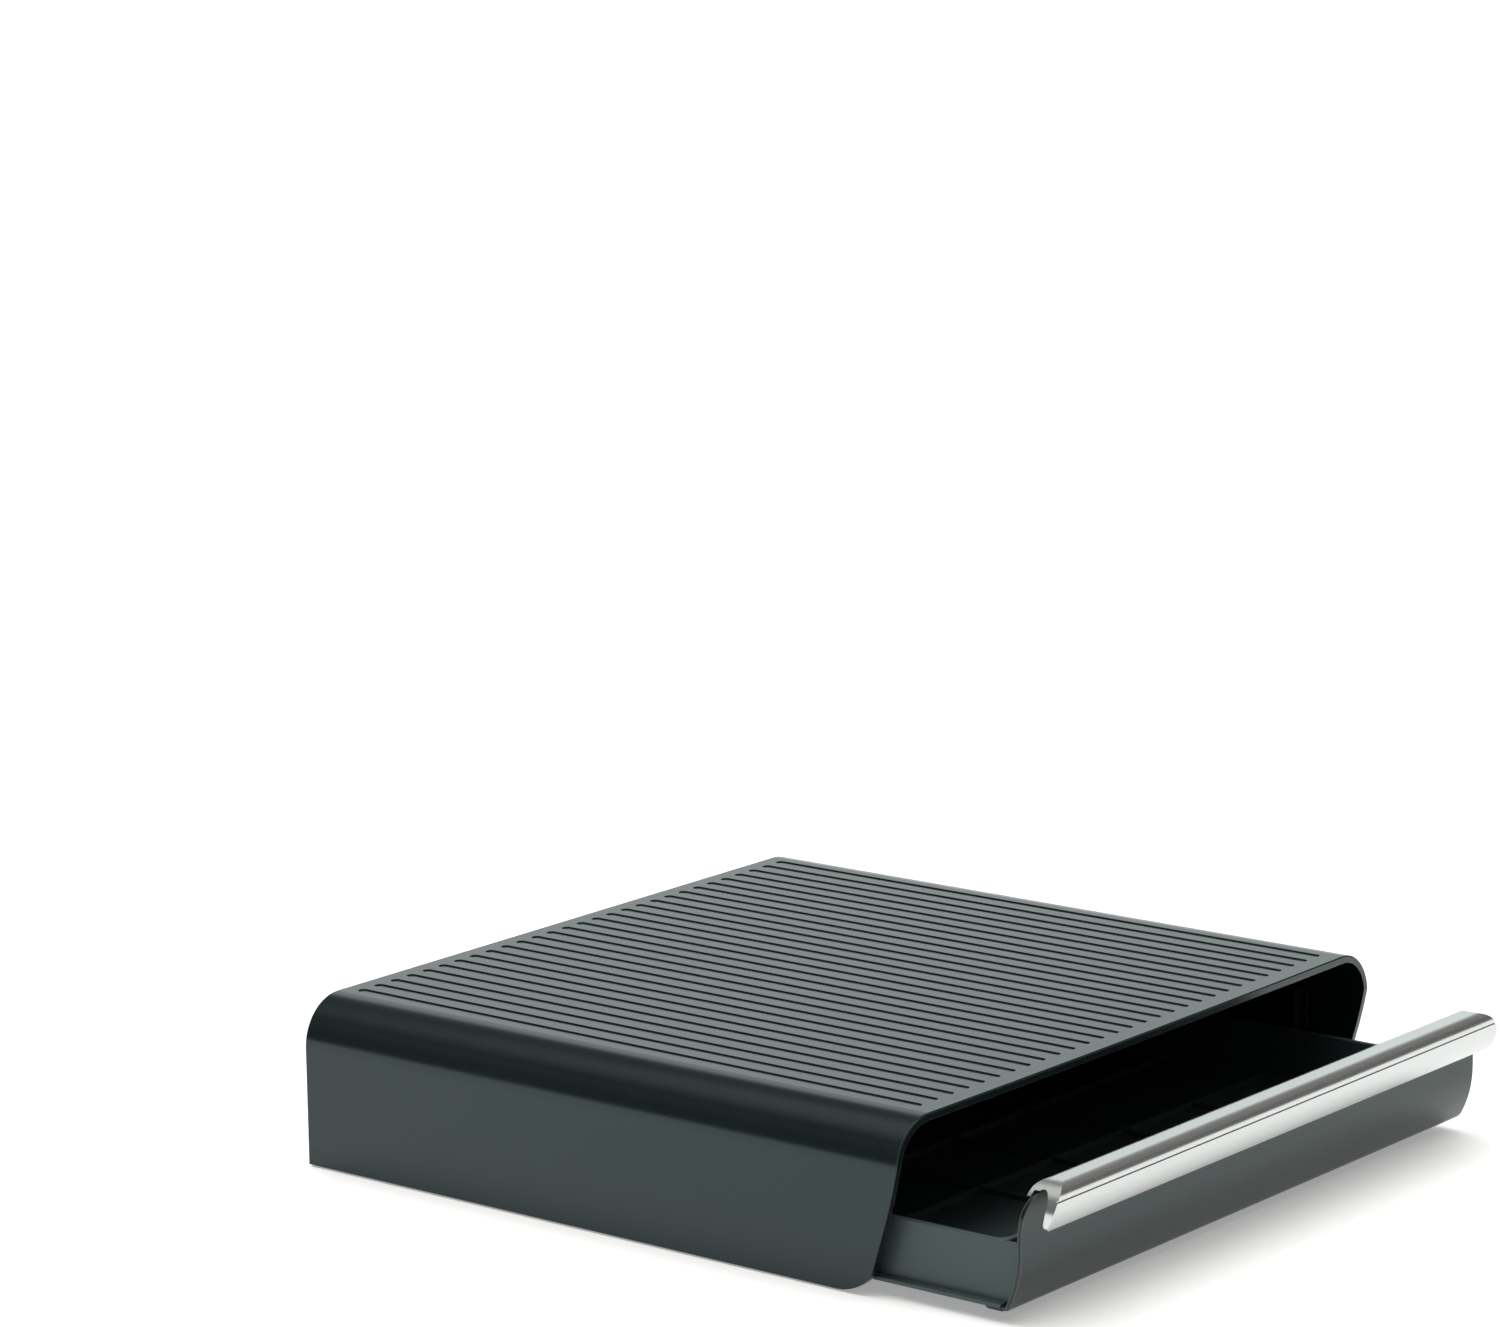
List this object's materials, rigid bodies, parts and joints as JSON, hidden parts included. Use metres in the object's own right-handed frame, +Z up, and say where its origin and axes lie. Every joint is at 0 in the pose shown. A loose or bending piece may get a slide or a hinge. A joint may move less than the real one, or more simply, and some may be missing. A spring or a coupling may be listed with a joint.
{
  "type": "coffee pod drawer",
  "caption": "Low tunnel-shaped stand with a channelled top for a coffee maker, and a wide shallow pod tray with a silver bar handle that slides out of its front.",
  "frame": {"origin": "middle of the footprint on the worktop, as the drawer stands here, pulled out by 61 mm", "axes": "+X across the width to the right seen from the front, +Y to the back, +Z up; the drawer opens along -Y"},
  "size_m": [0.336, 0.3804, 0.072],
  "materials": {
    "case_plastic": "satin",
    "tray_plastic": "matte",
    "front_plastic": "satin",
    "handle_silver": "satin",
    "guide_plastic": "matte",
    "rail_metal": "matte",
    "foot_rubber": "matte",
    "screw_steel": "zinc plated"
  },
  "bodies": {
    "case": {"case_shell": "case_plastic", "back_panel": "case_plastic", "base_front_rail": "rail_metal", "base_rear_rail": "rail_metal", "left_guide": "guide_plastic", "right_guide": "guide_plastic", "left_stop": "guide_plastic", "right_stop": "guide_plastic", "case_feet": "foot_rubber", "rear_bumpers": "foot_rubber", "base_screws": "screw_steel", "back_screws": "screw_steel"},
    "drawer": {"drawer_tray": "tray_plastic", "drawer_front": "front_plastic", "handle": "handle_silver", "front_screws": "screw_steel", "front_feet": "guide_plastic"}
  },
  "joints": [
    {"name": "drawer_slide", "type": "slide", "parent": "case", "child": "drawer", "axis": [0, -1, 0], "range_m": [-0.061, 0.158]}
  ]
}
